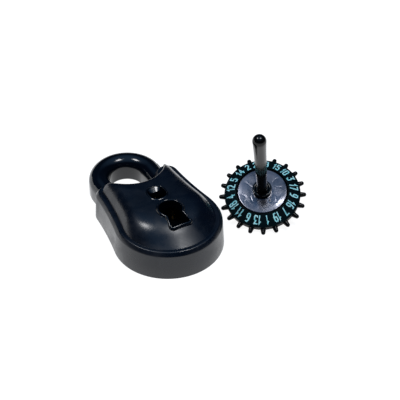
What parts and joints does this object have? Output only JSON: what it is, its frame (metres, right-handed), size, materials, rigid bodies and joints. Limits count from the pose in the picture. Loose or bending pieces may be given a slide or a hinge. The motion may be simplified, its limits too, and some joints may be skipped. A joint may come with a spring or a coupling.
{
  "type": "combination padlock",
  "caption": "Domed padlock with a keyhole, a number window and a sliding shackle, and a separate toothed number dial on a post that lifts away beside it.",
  "frame": {"origin": "centre of the casing's round part, on the back face", "axes": "+Y from the origin to the shackle, +Z out of the front face, +X to the right seen from the front"},
  "size_m": [0.0925, 0.0838, 0.057],
  "materials": {
    "gloss_navy": "gloss",
    "dial_black": "satin gloss",
    "ring_teal": "satin",
    "violet_gloss": "mirror gloss lacquer",
    "gunmetal": "polished gunmetal",
    "steel": "zinc plated",
    "spring_steel": "drawn wire",
    "brass": "turned"
  },
  "bodies": {
    "casing": {"front_casing": "gloss_navy", "keyhole_bezel": "gloss_navy", "window_frame": "gloss_navy", "back_cover": "gloss_navy", "back_screw_1": "steel", "back_screw_2": "steel", "back_screw_3": "steel", "back_screw_4": "steel", "heel_guide": "brass", "toe_guide": "brass", "latch_pivot": "brass", "latch_washer": "spring_steel", "latch_spring": "spring_steel", "latch_spring_post": "brass", "pivot_cup": "brass", "click_spring": "spring_steel", "click_rivet": "brass"},
    "shackle": {"shackle": "gloss_navy", "heel_clip": "spring_steel"},
    "latch": {"latch_lever": "steel", "follower_pin": "brass"},
    "dial_foot": {"pivot_tip": "steel"},
    "dial": {"dial_spindle": "gunmetal", "dial_wheel": "dial_black", "number_ring": "ring_teal", "centre_disc": "violet_gloss", "hub_collar": "gunmetal", "gate_cam": "brass", "cam_washer": "spring_steel"}
  },
  "joints": [
    {"name": "shackle_slide", "type": "slide", "parent": "casing", "child": "shackle", "axis": [0, 1, 0], "range_m": [0, 0.0165]},
    {"name": "latch_turn", "type": "hinge", "parent": "casing", "child": "latch", "pos_m": [0.005, 0.017, 0.004], "axis": [0, 0, -1], "range_deg": [0, 12], "stiffness_Nm_per_rad": 0.004, "springref_deg": -17.19},
    {"name": "dial_lift", "type": "slide", "parent": "casing", "child": "dial_foot", "axis": [0, 0, 1], "range_m": [0, 0.06]},
    {"name": "dial_spin", "type": "hinge", "parent": "dial_foot", "child": "dial", "pos_m": [0.05035, 0.0013, 0.00002], "axis": [-0.2363, -0.2928, 0.9265], "continuous": true}
  ]
}
